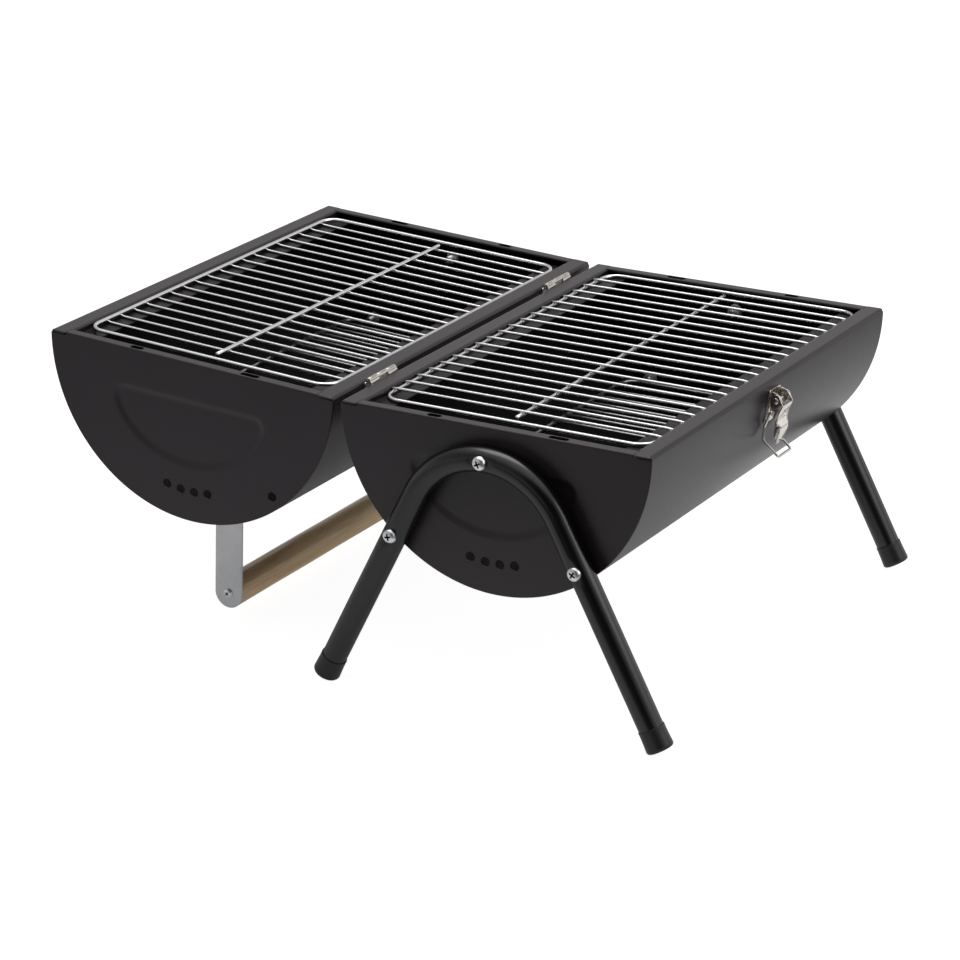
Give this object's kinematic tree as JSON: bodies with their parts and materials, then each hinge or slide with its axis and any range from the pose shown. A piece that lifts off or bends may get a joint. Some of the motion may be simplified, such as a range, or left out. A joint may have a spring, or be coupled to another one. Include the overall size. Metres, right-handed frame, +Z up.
{
  "type": "folding camp grill",
  "caption": "Folding camp grill of hinged half-barrel fire bowls with wire cooking and charcoal grates, bent tube legs, a wooden carry handle and a draw latch.",
  "frame": {"origin": "middle of the opened grill's footprint, on the ground", "axes": "+Z up, +X from the bowl with the handle towards the bowl on legs, +Y along the barrel away from the viewed end"},
  "size_m": [0.5972, 0.468, 0.2541],
  "materials": {
    "powder_coat": "satin brown-black heat-resistant powder coat",
    "leg_paint": "satin black paint",
    "cap_plastic": "matt black moulded plastic",
    "zinc": "bright zinc plate",
    "nickel": "bright nickel plate",
    "strap_steel": "satin flat steel strip",
    "wood": "clear-lacquered light hardwood dowel",
    "chrome_wire": "bright chrome-plated wire"
  },
  "bodies": {
    "right_half": {"right_shell": "powder_coat", "right_front_plate": "powder_coat", "right_rear_plate": "powder_coat", "front_leg_tube": "leg_paint", "rear_leg_tube": "leg_paint", "foot_caps": "cap_plastic", "leg_screws": "zinc", "leg_washers": "zinc", "leg_nuts": "zinc", "right_hinge_leaves": "nickel", "hinge_pins": "nickel", "right_hinge_rivets": "nickel", "latch_base": "nickel", "latch_base_rivets": "nickel", "latch_pivot_pin": "nickel"},
    "left_half": {"left_shell": "powder_coat", "left_front_plate": "powder_coat", "left_rear_plate": "powder_coat", "left_hinge_leaves": "nickel", "left_hinge_rivets": "nickel", "catch_plate": "nickel", "catch_rivets": "nickel", "handle_strap_front": "strap_steel", "handle_strap_rear": "strap_steel", "handle_rod": "wood", "handle_screws": "zinc", "handle_bolts": "zinc", "handle_nuts": "zinc", "spare_bolts": "zinc", "spare_nuts": "zinc"},
    "latch_lever": {"latch_lever": "nickel"},
    "latch_bail": {"latch_bail": "nickel"},
    "right_cooking_grate": {"right_cooking_frame": "chrome_wire", "right_cooking_bars": "chrome_wire", "right_cooking_spine": "chrome_wire"},
    "right_charcoal_grate": {"right_charcoal_frame": "chrome_wire", "right_charcoal_bars": "chrome_wire", "right_charcoal_spine": "chrome_wire"},
    "left_cooking_grate": {"left_cooking_frame": "chrome_wire", "left_cooking_bars": "chrome_wire", "left_cooking_spine": "chrome_wire"},
    "left_charcoal_grate": {"left_charcoal_frame": "chrome_wire", "left_charcoal_bars": "chrome_wire", "left_charcoal_spine": "chrome_wire"}
  },
  "joints": [
    {"name": "fold", "type": "hinge", "parent": "right_half", "child": "left_half", "pos_m": [-0.00782, 0, 0.2401], "axis": [0, -1, 0], "range_deg": [-176.85, 2.55]},
    {"name": "latch_lever_pivot", "type": "hinge", "parent": "right_half", "child": "latch_lever", "pos_m": [0.28028, 0, 0.2231], "axis": [0, -1, 0], "range_deg": [0, 125]},
    {"name": "latch_bail_pivot", "type": "hinge", "parent": "latch_lever", "child": "latch_bail", "pos_m": [0.27738, 0, 0.2141], "axis": [0, 1, 0], "range_deg": [-165.38, 5]},
    {"name": "right_cooking_grate_lift", "type": "slide", "parent": "right_half", "child": "right_cooking_grate", "axis": [0, 0, 1], "range_m": [0, 0.12]},
    {"name": "right_charcoal_grate_lift", "type": "slide", "parent": "right_half", "child": "right_charcoal_grate", "axis": [0, 0, 1], "range_m": [0, 0.075]},
    {"name": "left_cooking_grate_lift", "type": "slide", "parent": "left_half", "child": "left_cooking_grate", "axis": [0.055, 0, 0.9985], "range_m": [0, 0.12]},
    {"name": "left_charcoal_grate_lift", "type": "slide", "parent": "left_half", "child": "left_charcoal_grate", "axis": [0.055, 0, 0.9985], "range_m": [0, 0.075]}
  ]
}
